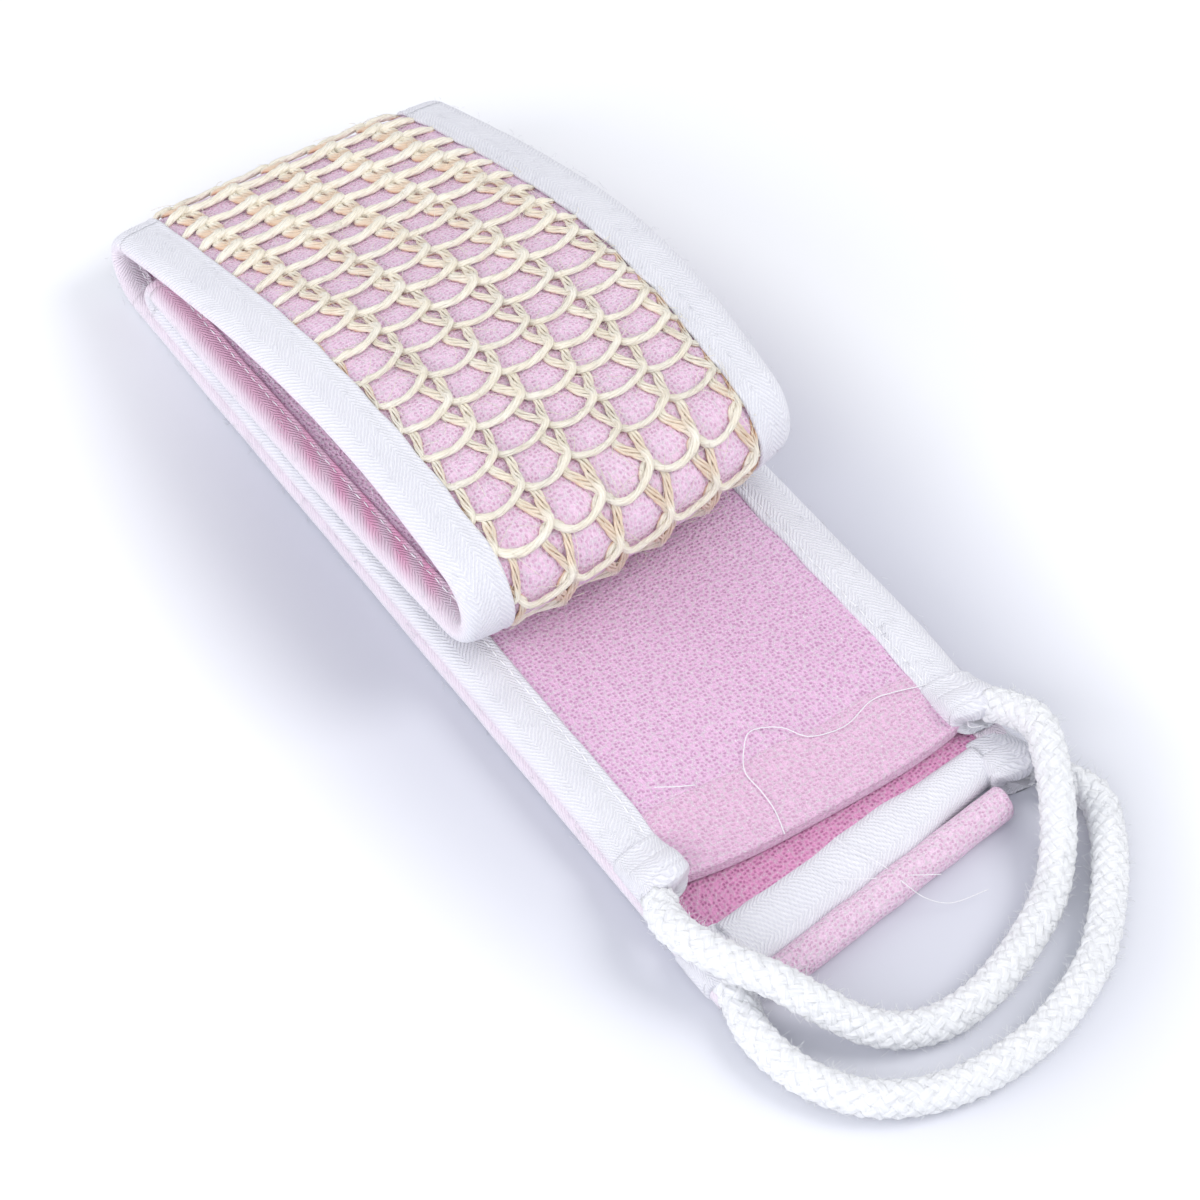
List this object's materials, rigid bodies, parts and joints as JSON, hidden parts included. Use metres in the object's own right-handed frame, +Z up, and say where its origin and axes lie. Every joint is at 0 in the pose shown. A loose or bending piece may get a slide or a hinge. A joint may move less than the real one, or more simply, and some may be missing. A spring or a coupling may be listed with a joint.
{
  "type": "back scrubber strap",
  "caption": "Folded fabric bath strap with a sisal netting face, bound edges and a braided rope handle at each end.",
  "frame": {"origin": "middle of the folded strap's underside, rope handles left out", "axes": "+X along the strap towards the rope handles, +Y across the strap, +Z up from the surface it lies on"},
  "size_m": [0.2965, 0.1016, 0.0443],
  "materials": {
    "knit": "pink pinhole knit",
    "hem": "pale pink brushed knit",
    "padding": "soft wadding",
    "binding": "white herringbone tape",
    "sisal": "natural sisal cord netting",
    "rope": "white braided rope"
  },
  "bodies": {
    "strap_base": {"lower_face_fabric": "knit", "lower_padding": "padding", "lower_back_fabric": "knit", "lower_left_binding": "binding", "lower_right_binding": "binding", "upper_face_fabric": "knit", "upper_padding": "padding", "upper_back_fabric": "knit", "upper_left_binding": "binding", "upper_right_binding": "binding", "rear_bend_fabric": "knit", "rear_bend_left_binding": "binding", "rear_bend_right_binding": "binding", "rear_bend_net": "sisal", "inner_bend_fabric": "knit", "inner_bend_left_binding": "binding", "inner_bend_right_binding": "binding", "lower_end_tape": "binding", "lower_hem_roll": "hem", "upper_end_tape": "binding", "upper_hem_flap": "hem", "lower_rope_tabs": "binding", "upper_rope_tabs": "binding", "lower_rope_ends": "rope", "upper_rope_ends": "rope"},
    "flap": {"top_face_fabric": "knit", "top_padding": "padding", "top_back_fabric": "knit", "top_left_binding": "binding", "top_right_binding": "binding", "top_net": "sisal", "front_bend_fabric": "knit", "front_bend_padding": "padding", "front_bend_lining": "knit", "front_bend_left_binding": "binding", "front_bend_right_binding": "binding", "front_bend_net": "sisal", "inner_face_fabric": "knit", "inner_padding": "padding", "inner_back_fabric": "knit", "inner_left_binding": "binding", "inner_right_binding": "binding", "inner_net": "sisal"},
    "lower_handle": {"lower_rope_loop": "rope"},
    "upper_handle": {"upper_rope_loop": "rope"}
  },
  "joints": [
    {"name": "flap_fold", "type": "hinge", "parent": "strap_base", "child": "flap", "pos_m": [-0.11515, 0, 0.01065], "axis": [0, -1, 0], "range_deg": [0, 160], "deforming": ["rear_bend_fabric", "rear_bend_left_binding", "rear_bend_right_binding", "rear_bend_net", "inner_bend_fabric", "inner_bend_left_binding", "inner_bend_right_binding"]},
    {"name": "lower_handle_lift", "type": "hinge", "parent": "strap_base", "child": "lower_handle", "pos_m": [0.1225, 0, 0.0055], "axis": [0, -1, 0], "range_deg": [0, 120], "deforming": ["lower_rope_ends"]},
    {"name": "upper_handle_lift", "type": "hinge", "parent": "strap_base", "child": "upper_handle", "pos_m": [0.1005, 0, 0.011], "axis": [0, -1, 0], "range_deg": [0, 120], "deforming": ["upper_rope_ends"]}
  ],
  "couplings": [
    {"joint": "upper_handle_lift", "follows": "lower_handle_lift", "ratio": 1}
  ]
}
